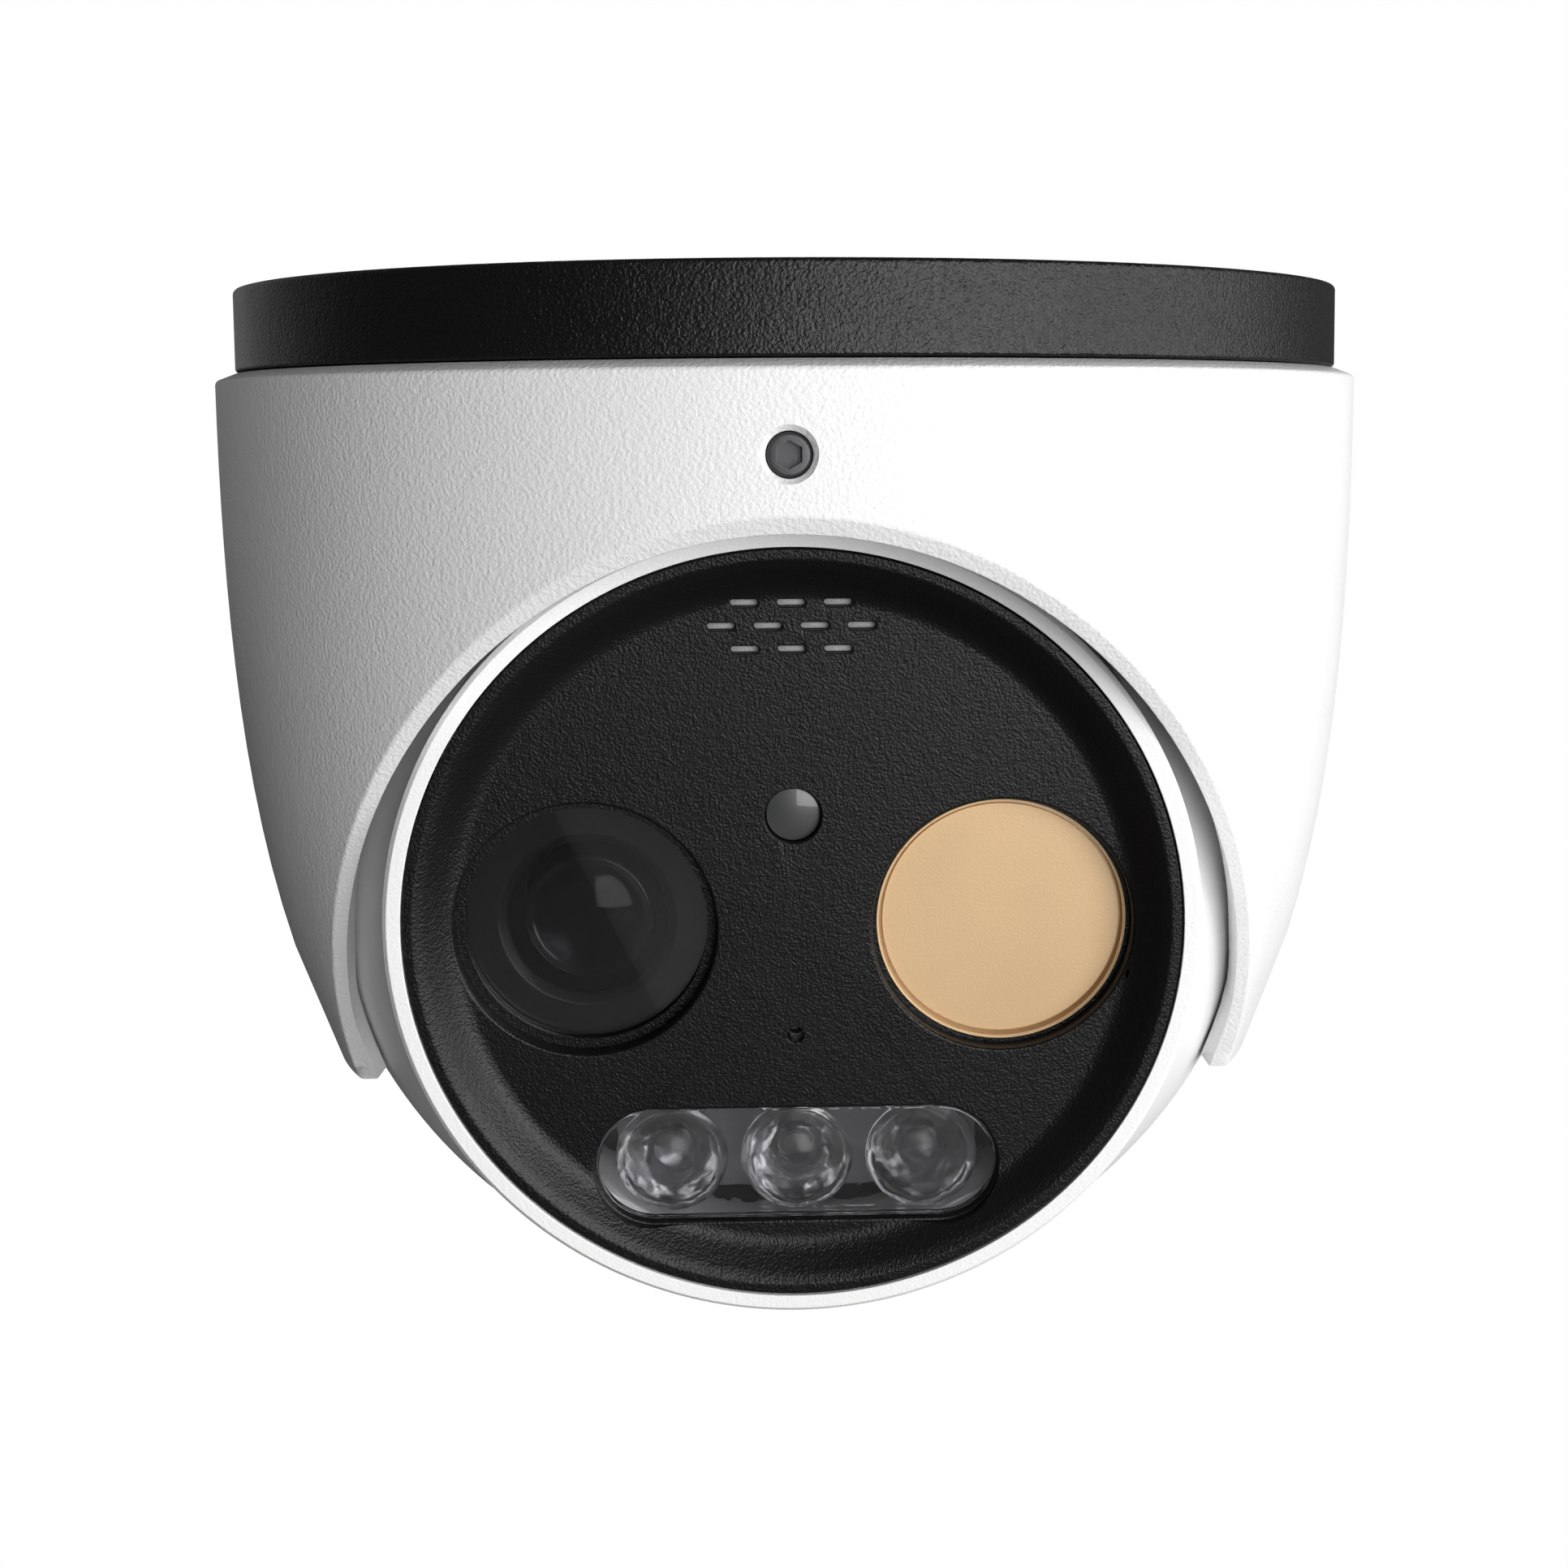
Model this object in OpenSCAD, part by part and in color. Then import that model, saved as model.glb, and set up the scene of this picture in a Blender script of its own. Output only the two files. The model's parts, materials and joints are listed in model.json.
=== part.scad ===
// Ceiling turret camera: a ball with two sensor windows held in a panning shell.
// Millimetres, +Z up as hung. Origin: centre of the face that meets the ceiling.

/* [Base] */
// Radius of the black base that meets the ceiling
base_r = 58.9; // [56:0.1:60]
// Height of the base that shows above the shell
base_h = 8.4; // [7:0.1:10]
// Thickness of the base plate
plate_t = 3; // [2.5:0.1:3.4]
// Bolt circle of the three ceiling screws
ceiling_pcd = 84; // [70:1:88]
// Radius of each ceiling screw hole
ceiling_hole_r = 2.25; // [1.8:0.05:2.6]
// Radius of the cable's hole in the base grommet
cable_r = 3.2; // [2:0.1:4]

/* [Turret shell] */
// Largest radius of the shell, at its top corner
shell_r = 61; // [60.5:0.1:62]
// Height of the flat bottom edge of the shell
shell_bottom = -81.5; // [-83:0.1:-79]
// Downward tilt of the opening's plane, in degrees
opening_tilt = 33.8; // [30:0.1:36]
// Distance of the opening's plane from the ball's centre
opening_d = 31.06; // [29:0.01:33]
// Height of the lock screw on the shell
lock_z = -16.9; // [-17.4:0.1:-16.4]

/* [Ball] */
// Height of the ball's centre
ball_z = -57.2; // [-57.6:0.1:-56.8]
// Radius of the ball
ball_r = 52.3; // [51.8:0.1:52.5]
// Resting downward tilt of the face, in degrees
rest_tilt = 6.7; // [5:0.1:12]
// Radius of the two pivot pins
pivot_r = 3; // [2.5:0.1:3.5]

/* [Face] */
// Distance of the bezel's face from the ball's centre
face_d = 43.7; // [43:0.1:44]
// Outer radius of the bezel
bezel_r = 38.9; // [38.5:0.1:39]
// Radius of the black front panel
panel_r = 36.98; // [36.5:0.01:37]
// Depth of the panel's floor below its rim
floor_depth = 2.5; // [2:0.1:3]
// Sideways distance of each sensor window from the centre
window_x = 20; // [19.8:0.1:20.2]
// Height of both sensor windows above the face's centre
window_y = -0.2; // [-0.5:0.1:0.5]
// Radius of the recess around each sensor window
window_r = 12.8; // [12.4:0.1:13]
// Height of the lamp window's centre
lamp_y = -24.4; // [-24.6:0.1:-24.2]
// Spacing of the three lamp optics
lamp_pitch = 12.3; // [12:0.1:12.4]
// Height of the light sensor
light_y = 10.9; // [10:0.1:12]
// Height of the microphone hole
mic_y = -11; // [-12:0.1:-10]

/* [Hidden] */
$fn = 96;
gap = 0.3;
bolt_steps = 4;
// Pan bearing
lip_top = -base_h - 0.2;
lip_bottom = -14;
lip_bore_r = 53.9;
collar_r = 53.6;
collar_in_r = 50.6;
pan_ring_top = lip_bottom - gap;
pan_ring_bottom = -19.2;
pan_ring_r = 55.4;
pan_bolt_r = 52.1;
// Shell wall
shell_corner_z = -9.4;
shell_steps = 26;
shell_wide_r = 57;
ledge_z = -23;
seat_r = ball_r + 0.4;
sweep_r = 58.9;
sweep_half_w = 39.4;
bore_r = 43;
bore_z = -66.9;
// Pivot ring that holds the ball's pins down
ring_top = -20.2;
ring_in_r = 50.2;
ring_r = 56.8;
ring_bolt_r = 54.6;
pin_out_x = 55.3;
pin_in_x = 46.5;
key_x0 = seat_r + 0.25;
key_x1 = pin_out_x + 0.1;
key_half_w = 2.9;
// Lock screw and its pad: M4, pitch 0.7
lock_r = 2;
lock_out = 60.45;
lock_in = 56.6;
pad_in = 55.75;
boss_in = 56.2;
// Ball
ball_in_r = 48.8;
ball_front_z = 35.2;
ball_split_z = -14;
ball_back_z = -42;
ball_bolt_r = 44.8;
flange_r = 40.4;
flange_t = 6;
rear_flange_z = -26;
head_bore_r = 36.1;
flange_back_z = 30;
// Head housing
bezel_back_z = 35.6;
bezel_in_r = panel_r + 0.17;
barrel_r = 35.8;
barrel_in_r = 33.6;
barrel_back_z = -18;
shoulder_z = 38;
clip_z = 28.5;
clip_t = 1;
// Panel
rim_z = face_d - 0.1;
floor_z = face_d - floor_depth;
panel_back_z = 38.6;
lip_w = 1;
slope_r = 32.2;
step_z = 39.2;
visible_r = 11.65;
gold_r = 11.87;
slot_w = 0.87;
slot_l = 2.65;
lamp_half = 13.8;
lamp_end_r = 6;
speaker_y = 24.3;
post_at = [[21, 21], [-21, 21], [26, -16.5], [-26, -16.5]];
standoff_at = [[10, 28], [-10, 28], [10, -28], [-10, -28]];
cover_bolt_r = 30.6;
shutter_x = 20;
shutter_y = -15.5;
shutter_arm = 15.3;
shutter_park = 75;
button_x = 18;

// ---- frames and shared shapes ----

// Face frame: x right, y up in the face, z out of the face from the ball's centre
module face() {
    translate([0, 0, ball_z])
        rotate([90 + rest_tilt, 0, 0])
            children();
}

// Four places at 45 degrees on a circle
module around4(r) {
    for (i = [0 : bolt_steps - 1])
        rotate([0, 0, 45 + 360 * i / bolt_steps])
            translate([r, 0, 0])
                children();
}

// Tube from z0 to z1
module tube(r_out, r_in, z0, z1) {
    translate([0, 0, z0])
        difference() {
            cylinder(r = r_out, h = z1 - z0);
            translate([0, 0, -1])
                cylinder(r = r_in, h = z1 - z0 + 2);
        }
}

// Solid disc from z0 to z1
module disc(r, z0, z1) {
    translate([0, 0, z0])
        cylinder(r = r, h = z1 - z0);
}

// Block centred in x and y, from z0 to z1
module block(w, d, z0, z1) {
    translate([-w / 2, -d / 2, z0])
        cube([w, d, z1 - z0]);
}

// Stadium outline with its straight along x
module stadium(half, r) {
    square([2 * half, 2 * r], center = true);
    for (s = [-1, 1])
        translate([s * half, 0])
            circle(r = r);
}

// Stadium plate
module stadium_plate(half, r, z0, z1) {
    translate([0, 0, z0])
        linear_extrude(height = z1 - z0)
            stadium(half, r);
}

// Cap screw with a hex socket, head on top at z = 0, shank downwards
module cap_screw(r, length, head_r, head_h) {
    difference() {
        union() {
            translate([0, 0, -head_h])
                cylinder(r = head_r, h = head_h, $fn = 32);
            translate([0, 0, -head_h - length])
                cylinder(r = r, h = length + head_h / 2, $fn = 32);
        }
        translate([0, 0, -head_h * 0.55])
            cylinder(r = head_r * 0.55, h = head_h, $fn = 6);
    }
}

// Radius of the shell's outside at height z: nearly straight, then curving in under the ball
function shell_out(z) = let (t = shell_corner_z - z) shell_r - 1.03e-3 * t * t - 2.07e-7 * pow(t, 4);

// ---- base ----

module mounting_base() {
    color("#1b1b1c")
    difference() {
        rotate_extrude()
            polygon([[0, -plate_t], [0, 0], [base_r - 0.6, 0], [base_r, -0.6],
                [base_r, -base_h], [collar_r, -base_h], [collar_r, pan_ring_top],
                [collar_in_r, pan_ring_top], [collar_in_r, -plate_t]]);
        for (i = [0 : 2])
            rotate([0, 0, 90 + 120 * i])
                translate([ceiling_pcd / 2, 0, -plate_t - 1])
                    cylinder(r = ceiling_hole_r, h = plate_t + 2, $fn = 48);
        translate([0, 0, -plate_t - 1])
            cylinder(r = 8, h = plate_t + 2);
        tube(53, 50.8, -1.2, 1);
        around4(pan_bolt_r)
            disc(1, pan_ring_top - 1, pan_ring_top + 6);
    }
}

module base_gasket() {
    color("#303030")
    tube(52.9, 50.9, -1.2, 0);
}

module cable_grommet() {
    color("#262626")
    rotate_extrude()
        polygon([[cable_r, -plate_t - 1], [8.9, -plate_t - 1], [8.9, -plate_t],
            [8, -plate_t], [8, 0], [cable_r, 0]]);
}

module pan_ring() {
    color("#242426")
    difference() {
        tube(pan_ring_r, collar_in_r, pan_ring_bottom, pan_ring_top);
        around4(pan_bolt_r) {
            disc(1.05, pan_ring_bottom - 1, pan_ring_top + 1);
            disc(2, pan_ring_bottom - 1, pan_ring_bottom + 1.8);
        }
    }
}

module pan_ring_screws() {
    color("#b9bcc0")
    around4(pan_bolt_r)
        translate([0, 0, pan_ring_bottom + 0.2])
            mirror([0, 0, 1])
                cap_screw(1, 8, 1.85, 1.5);
}

// ---- turret shell ----

module shell_outside() {
    rotate_extrude()
        polygon(concat(
            [[0, lip_top], [base_r, lip_top], [shell_r, shell_corner_z]],
            [for (i = [1 : shell_steps])
                let (z = shell_corner_z + (shell_bottom - shell_corner_z) * i / shell_steps)
                [shell_out(z), z]],
            [[0, shell_bottom]]));
}

// Everything in front of the opening's plane
module opening_cut() {
    translate([0, 0, ball_z])
        rotate([90 + opening_tilt, 0, 0])
            translate([-100, -100, opening_d])
                cube([200, 200, 100]);
}

// Clears the view of the head through the opening, level with its top
module opening_bore() {
    translate([0, -20, bore_z])
        rotate([90, 0, 0])
            cylinder(r = bore_r, h = 50, $fn = 128);
}

module shell_inside() {
    disc(lip_bore_r, lip_bottom - 1, 0);
    disc(shell_wide_r, ledge_z, lip_bottom);
    disc(seat_r, ball_z, ledge_z + 1);
    translate([0, 0, ball_z])
        sphere(r = seat_r, $fn = 128);
    // room for the bezel as the ball tilts up
    translate([0, 0, ball_z])
        intersection() {
            sphere(r = sweep_r, $fn = 128);
            translate([-sweep_half_w, -100, -20])
                cube([2 * sweep_half_w, 92, 100]);
        }
}

module pivot_slots() {
    for (s = [-1, 1]) {
        translate([s * 54, 0, ball_z])
            rotate([0, 90, 0])
                cylinder(r = pivot_r + 0.05, h = 3.2, center = true, $fn = 64);
        translate([s * 54 - 1.6, -key_half_w - 0.15, ball_z + 1])
            cube([3.2, 2 * key_half_w + 0.3, ledge_z - ball_z]);
    }
}

module turret_shell() {
    color("#e9e9e6")
    difference() {
        shell_outside();
        difference() {
            shell_inside();
            translate([0, -boss_in, lock_z])
                rotate([90, 0, 0])
                    cylinder(r = 3.2, h = 5, $fn = 48);
        }
        opening_cut();
        opening_bore();
        pivot_slots();
        translate([0, -50, lock_z])
            rotate([90, 0, 0])
                cylinder(r = lock_r + 0.05, h = 20, $fn = 48);
        around4(ring_bolt_r)
            disc(1.2, ledge_z - 6.5, ledge_z + 1);
    }
}

module pivot_ring() {
    color("#3a3b3d")
    difference() {
        union() {
            tube(ring_r, ring_in_r, ledge_z, ring_top);
            for (s = [-1, 1])
                translate([s > 0 ? key_x0 : -key_x1, -key_half_w, ball_z + pivot_r + 0.06])
                    cube([key_x1 - key_x0, 2 * key_half_w, ring_top - 1 - ball_z - pivot_r]);
        }
        around4(ring_bolt_r) {
            disc(1.3, ledge_z - 1, ring_top + 1);
            disc(2.1, ring_top - 1.75, ring_top + 1);
        }
    }
}

module pivot_ring_screws() {
    color("#b9bcc0")
    around4(ring_bolt_r)
        translate([0, 0, ring_top - 0.15])
            cap_screw(1.2, 6.6, 2, 1.5);
}

module brake_pad() {
    color("#6b5a3c")
    translate([0, -lock_in + 0.05, lock_z])
        rotate([-90, 0, 0])
            cylinder(r = lock_r - 0.05, h = lock_in - pad_in - 0.05, $fn = 48);
}

module lock_screw() {
    color("#4d4f52")
    translate([0, -lock_in, lock_z])
        rotate([90, 0, 0])
            difference() {
                rotate_extrude($fn = 48)
                    polygon([[0, 0], [1.6, 0], [lock_r, 0.4], [lock_r, lock_out - lock_in - 0.3],
                        [lock_r - 0.3, lock_out - lock_in], [0, lock_out - lock_in]]);
                translate([0, 0, lock_out - lock_in - 2])
                    cylinder(r = 1.2, h = 3, $fn = 6);
            }
}

// ---- ball ----

module ball_between(z0, z1, r) {
    intersection() {
        sphere(r = r, $fn = 128);
        disc(80, z0, z1);
    }
}

module ball_front_shell() {
    color("#e6e6e3")
    difference() {
        face() {
            difference() {
                union() {
                    difference() {
                        ball_between(ball_split_z, ball_front_z, ball_r);
                        ball_between(ball_split_z + flange_t, flange_back_z, ball_in_r);
                    }
                    for (s = [-1, 1])
                        translate([s * 47.3, 0, 0])
                            rotate([0, 90, 0])
                                cylinder(r = 6, h = 4.6, center = true, $fn = 64);
                }
                disc(flange_r, ball_split_z - 1, ball_split_z + flange_t + 1);
                disc(head_bore_r, flange_back_z - 2, 60);
                around4(ball_bolt_r)
                    disc(1.2, ball_split_z - 1, ball_split_z + 4.5);
            }
        }
        translate([0, 0, ball_z])
            rotate([0, 90, 0])
                cylinder(r = pivot_r, h = 130, center = true, $fn = 64);
    }
}

module ball_rear_shell() {
    color("#e6e6e3")
    face()
        difference() {
            ball_between(ball_back_z, ball_split_z, ball_r);
            ball_between(ball_back_z + 3, rear_flange_z, ball_in_r);
            disc(flange_r, rear_flange_z - 1, ball_split_z + 1);
            disc(9, ball_back_z - 1, ball_back_z + 4);
            around4(ball_bolt_r) {
                disc(1.3, ball_split_z - 5, ball_split_z + 1);
                disc(2.3, -60, ball_split_z - 4);
            }
        }
}

module pivot_pins() {
    color("#c4c7cb")
    for (s = [-1, 1])
        translate([s * (pin_in_x + pin_out_x) / 2, 0, ball_z])
            rotate([0, 90, 0])
                cylinder(r = pivot_r, h = pin_out_x - pin_in_x, center = true, $fn = 64);
}

module ball_screws() {
    color("#b9bcc0")
    face()
        around4(ball_bolt_r)
            translate([0, 0, ball_split_z - 5.5])
                mirror([0, 0, 1])
                    cap_screw(1.2, 8, 2.2, 1.5);
}

module ball_grommet() {
    color("#262626")
    face()
        rotate_extrude()
            polygon([[5, ball_back_z - 1.2], [10.2, ball_back_z - 1.2], [10.2, ball_back_z],
                [9, ball_back_z], [9, ball_back_z + 3], [10.2, ball_back_z + 3],
                [10.2, ball_back_z + 4.2], [5, ball_back_z + 4.2]]);
}

// ---- head ----

module head_housing() {
    color("#ededea")
    face()
        difference() {
            union() {
                rotate_extrude()
                    polygon([[barrel_in_r, barrel_back_z], [barrel_r, barrel_back_z],
                        [barrel_r, bezel_back_z], [bezel_r, bezel_back_z],
                        [bezel_r, face_d - 0.45], [bezel_r - 0.45, face_d],
                        [bezel_in_r, face_d], [bezel_in_r, shoulder_z], [barrel_in_r, shoulder_z]]);
                around4(cover_bolt_r)
                    disc(3.1, -15, -6);
            }
            tube(40, barrel_r - 0.9, clip_z - 0.05, clip_z + clip_t + 0.05);
            around4(cover_bolt_r)
                disc(1.2, -16, -7);
        }
}

module head_clip() {
    color("#9fa3a8")
    face()
        difference() {
            tube(37.7, barrel_r - 0.85, clip_z, clip_z + clip_t);
            translate([-3, -45, clip_z - 1])
                cube([6, 20, clip_t + 2]);
        }
}

module panel_gasket() {
    color("#202020")
    face()
        tube(36.9, 34.1, shoulder_z, panel_back_z);
}

module speaker_slots() {
    rows = [[31.46, 3, 0], [29.25, 4, 0], [27.04, 3, 0]];
    pitch = 4.38;
    for (row = rows)
        for (i = [0 : row[1] - 1])
            translate([(i - (row[1] - 1) / 2) * pitch, row[0], 0])
                stadium_plate((slot_l - slot_w) / 2, slot_w / 2, 30, 60);
}

module front_panel() {
    color("#141415")
    face()
        difference() {
            rotate_extrude()
                polygon([[0, panel_back_z], [panel_r, panel_back_z], [panel_r, rim_z],
                    [panel_r - lip_w, rim_z], [panel_r - lip_w - 0.9, rim_z - 0.4],
                    [slope_r + 0.9, floor_z + 0.4], [slope_r, floor_z], [0, floor_z]]);
            for (s = [-1, 1])
                translate([s * window_x, window_y, 0]) {
                    disc(window_r, step_z, 60);
                    disc(s < 0 ? visible_r : gold_r, 30, 60);
                }
            translate([0, lamp_y, 0])
                stadium_plate(lamp_half, lamp_end_r, 30, 60);
            translate([0, light_y, 0])
                disc(2.7, 30, 60);
            translate([0, mic_y, 0])
                disc(0.8, 30, 60);
            speaker_slots();
            for (p = post_at)
                translate([p[0], p[1], 0])
                    disc(1, 30, panel_back_z + 1.7);
        }
}

module visible_window() {
    color("#30343a", 0.5)
    face()
        translate([-window_x, window_y, 0])
            disc(13.2, 37.3, 38.5);
}

module thermal_window() {
    color("#e3c193")
    face()
        translate([window_x, window_y, 0])
            disc(13.2, 37.5, 38.5);
}

module lens_shield() {
    color("#101010")
    face()
        translate([-window_x, window_y, 0])
            tube(12.4, 7.75, 36, 37.2);
}

module lens_barrel() {
    color("#18191b")
    face()
        translate([-window_x, window_y, 0])
            rotate_extrude()
                polygon([[4.2, 18.6], [6, 18.6], [6, 29.6], [6.3, 30], [6.3, 36.2], [5.9, 36.5],
                    [5.6, 36.5], [5.5, 34.4], [4.2, 34.4]]);
}

module front_lens() {
    color("#3b4a63", 0.5)
    face()
        translate([-window_x, window_y, 0])
            intersection() {
                disc(5.4, 34.4, 37);
                translate([0, 0, 35.95 - 12])
                    sphere(r = 12);
            }
}

module rear_lens() {
    color("#3b4a63", 0.5)
    face()
        translate([-window_x, window_y, 0])
            disc(4.15, 19.2, 21.4);
}

module lens_holder() {
    color("#1d1e20")
    face()
        translate([-window_x, window_y, 0])
            difference() {
                block(18, 18, 11.2, 27);
                disc(6.05, 18, 28);
                block(11, 11, 11, 18.5);
                block(10.2, 20, 15.4, 17.8);
            }
}

module ir_cut_filter() {
    color("#7a2f3a")
    face()
        translate([-window_x, window_y, 0])
            difference() {
                translate([-4.8, -4.8, 16])
                    cube([9.6, 17.1, 1.2]);
                for (y = [0, 7.5])
                    translate([0, y, 0]) {
                        disc(3.2, 15.8, 16.3);
                        disc(3.2, 16.9, 17.4);
                    }
            }
}

module filter_coil() {
    color("#a35a26")
    face()
        translate([-window_x + 12.4, window_y, 17])
            rotate([90, 0, 0])
                difference() {
                    cylinder(r = 3.2, h = 9, center = true, $fn = 48);
                    cylinder(r = 1, h = 10, center = true, $fn = 32);
                }
}

module image_sensor() {
    color("#2c3d34")
    face()
        translate([-window_x, window_y, 0])
            block(9, 7, 11.2, 12.6);
}

module sensor_board() {
    color("#1f5a3a")
    face()
        translate([-window_x, window_y, 0])
            block(20, 20, 10, 11.2);
}

module thermal_lens_barrel() {
    color("#232425")
    face()
        translate([window_x, window_y, 0])
            rotate_extrude()
                polygon([[6.6, 26.4], [10.5, 26.4], [10.5, 36.4], [10, 36.8], [7.2, 36.8],
                    [7.2, 31.9], [6.6, 31.9]]);
}

module thermal_lens() {
    color("#5a5247")
    face()
        translate([window_x, window_y, 0])
            intersection() {
                disc(7.15, 31.9, 36);
                translate([0, 0, 35.4 - 16])
                    sphere(r = 16);
            }
}

module thermal_core() {
    color("#8f9397")
    face()
        translate([window_x, window_y, 0])
            difference() {
                block(22, 22, 14, 24.5);
                disc(6, 20.5, 25);
            }
}

module shutter_motor() {
    color("#77797d")
    face()
        translate([shutter_x, shutter_y, 0]) {
            disc(3.1, 15, 24.7);
            disc(0.8, 24.7, 26);
        }
}

module shutter_flag() {
    color("#111111")
    face()
        translate([shutter_x, shutter_y, 25.1])
            rotate([0, 0, shutter_park])
                linear_extrude(height = 0.5)
                    difference() {
                        union() {
                            circle(r = 2);
                            translate([-1.2, 0])
                                square([2.4, shutter_arm]);
                            translate([0, shutter_arm])
                                circle(r = 7.4);
                        }
                        circle(r = 0.86);
                    }
}

module front_board() {
    color("#1f5a3a")
    face()
        block(10, 29, 34.8, 35.8);
}

module light_sensor() {
    color("#2b2b30")
    face()
        translate([0, light_y, 0])
            block(3.2, 3.2, 35.8, 37);
}

module light_sensor_window() {
    color("#55585c", 0.6)
    face()
        translate([0, light_y, 0])
            disc(2.6, 39, 40.4);
}

module microphone() {
    color("#b0b3b7")
    face()
        translate([0, mic_y, 0])
            disc(2, 35.8, 37.4);
}

module mic_boot() {
    color("#1c1c1c")
    face()
        translate([0, mic_y, 0])
            rotate_extrude()
                polygon([[2.02, 36.2], [3, 36.2], [3, 38.5], [0.8, 38.5], [0.8, 37.6], [2.02, 37.6]]);
}

module speaker_frame() {
    color("#2a2a2c")
    face()
        translate([0, speaker_y, 0])
            rotate_extrude()
                polygon([[3.6, 33.4], [8.4, 33.4], [8.4, 37.8], [7.6, 37.8], [7.6, 34.2], [3.6, 34.2]]);
}

module speaker_cone() {
    color("#3a3530")
    face()
        translate([0, speaker_y, 0])
            rotate_extrude()
                polygon([[0, 34.9], [2.6, 34.9], [7.5, 36.9], [7.5, 37.3], [2.4, 35.4], [0, 35.4]]);
}

module speaker_magnet() {
    color("#6d7075")
    face()
        translate([0, speaker_y, 0]) {
            disc(5.6, 29.8, 33.4);
            disc(2.4, 33.4, 34.7);
        }
}

module grille_mesh() {
    color("#4a4b4d")
    face()
        translate([0, 29.3, 0])
            stadium_plate(5, 3.2, 38.1, 38.4);
}

module led_window() {
    color("#55595e", 0.5)
    face()
        translate([0, lamp_y, 0])
            stadium_plate(lamp_half, lamp_end_r - 0.15, 38.8, 40.7);
}

module led_optics() {
    color("#d8dde2", 0.5)
    face()
        for (i = [-1, 0, 1])
            translate([i * lamp_pitch, lamp_y, 0])
                rotate_extrude()
                    polygon([[0, 34.6], [1.7, 34.6], [1.9, 33.1], [2.5, 33.1], [4.6, 36],
                        [5.5, 38.1], [5.5, 38.5], [0, 38.5]]);
}

module led_emitters() {
    color("#e8e2b8")
    face()
        for (i = [-1, 0, 1])
            translate([i * lamp_pitch, lamp_y, 0]) {
                block(3.4, 3.4, 32.2, 33);
                disc(1.2, 33, 33.8);
            }
}

module led_board() {
    color("#e4e4de")
    face()
        translate([0, lamp_y, 0])
            stadium_plate(lamp_pitch, 5.8, 31, 32.2);
}

module inner_chassis() {
    color("#2d2e31")
    face()
        difference() {
            union() {
                disc(33.3, 27.6, 29.4);
                for (p = post_at)
                    translate([p[0], p[1], 0])
                        disc(2.2, 29, panel_back_z);
                disc(2.5, 29, 34.8);
            }
            translate([-window_x, window_y, 0])
                disc(6.8, 27, 30);
            translate([window_x, window_y, 0])
                disc(10.9, 27, 30);
            for (p = post_at)
                translate([p[0], p[1], 0])
                    disc(1.05, 27, 40);
        }
}

module chassis_screws() {
    color("#b9bcc0")
    face()
        for (p = post_at)
            translate([p[0], p[1], 26.2])
                mirror([0, 0, 1])
                    cap_screw(1, 12.3, 1.9, 1.4);
}

module board_standoffs() {
    color("#c9b26a")
    face()
        for (p = standoff_at)
            translate([p[0], p[1], -1.4])
                cylinder(r = 2.6, h = 29, $fn = 6);
}

module main_board() {
    color("#1f5a3a")
    face() {
        difference() {
            disc(31, -3, -1.4);
            for (p = standoff_at)
                translate([p[0], p[1], 0])
                    disc(1.1, -4, 0);
        }
        translate([button_x, 0, 0])
            block(4.6, 4.6, -4.4, -3);
        translate([-12, 14, 0])
            block(12, 9, -1.4, 1.4);
        translate([10, -12, 0])
            block(15, 11, -1.4, 0.4);
    }
}

module processor_chip() {
    color("#26272a")
    face()
        translate([-6, 0, 0])
            block(14, 14, -6.9, -3);
}

module heat_spreader() {
    color("#b4b7ba")
    face()
        difference() {
            disc(27, -9.5, -7);
            translate([button_x, 0, 0])
                disc(1.8, -10, -6);
            around4(cover_bolt_r)
                disc(3.4, -10, -6);
        }
}

module rear_cover() {
    color("#2a2b2d")
    face()
        difference() {
            union() {
                disc(barrel_r, -20.4, -18.4);
                disc(33.4, -18.5, -15.1);
            }
            disc(6, -21, -15);
            translate([button_x, 0, 0]) {
                disc(2.15, -21, -15);
                disc(3.4, -17, -15);
            }
            around4(cover_bolt_r) {
                disc(1.3, -21, -15);
                disc(2.3, -21, -18.8);
            }
        }
}

module rear_gasket() {
    color("#202020")
    face()
        tube(35.7, 33.7, -18.4, -18);
}

module rear_cover_screws() {
    color("#b9bcc0")
    face()
        around4(cover_bolt_r)
            translate([0, 0, -20.3])
                mirror([0, 0, 1])
                    cap_screw(1.2, 11, 2.2, 1.5);
}

module head_grommet() {
    color("#262626")
    face()
        rotate_extrude()
            polygon([[3, -21.6], [7.4, -21.6], [7.4, -20.4], [6, -20.4], [6, -15.1],
                [7, -15.1], [7, -14], [3, -14]]);
}

module reset_button() {
    color("#c8452f")
    face()
        translate([button_x, 0, 0])
            rotate_extrude()
                polygon([[0, -21.2], [1.7, -21.2], [2, -20.9], [2, -16.9], [3.1, -16.9],
                    [3.1, -16.1], [1.3, -16.1], [1.3, -5.4], [0, -5.4]]);
}

mounting_base();
base_gasket();
cable_grommet();
pan_ring();
pan_ring_screws();
turret_shell();
pivot_ring();
pivot_ring_screws();
brake_pad();
lock_screw();
ball_front_shell();
ball_rear_shell();
pivot_pins();
ball_screws();
ball_grommet();
head_housing();
head_clip();
panel_gasket();
front_panel();
visible_window();
thermal_window();
lens_shield();
lens_barrel();
front_lens();
rear_lens();
lens_holder();
ir_cut_filter();
filter_coil();
image_sensor();
sensor_board();
thermal_lens_barrel();
thermal_lens();
thermal_core();
shutter_motor();
shutter_flag();
front_board();
light_sensor();
light_sensor_window();
microphone();
mic_boot();
speaker_frame();
speaker_cone();
speaker_magnet();
grille_mesh();
led_window();
led_optics();
led_emitters();
led_board();
inner_chassis();
chassis_screws();
board_standoffs();
main_board();
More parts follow.
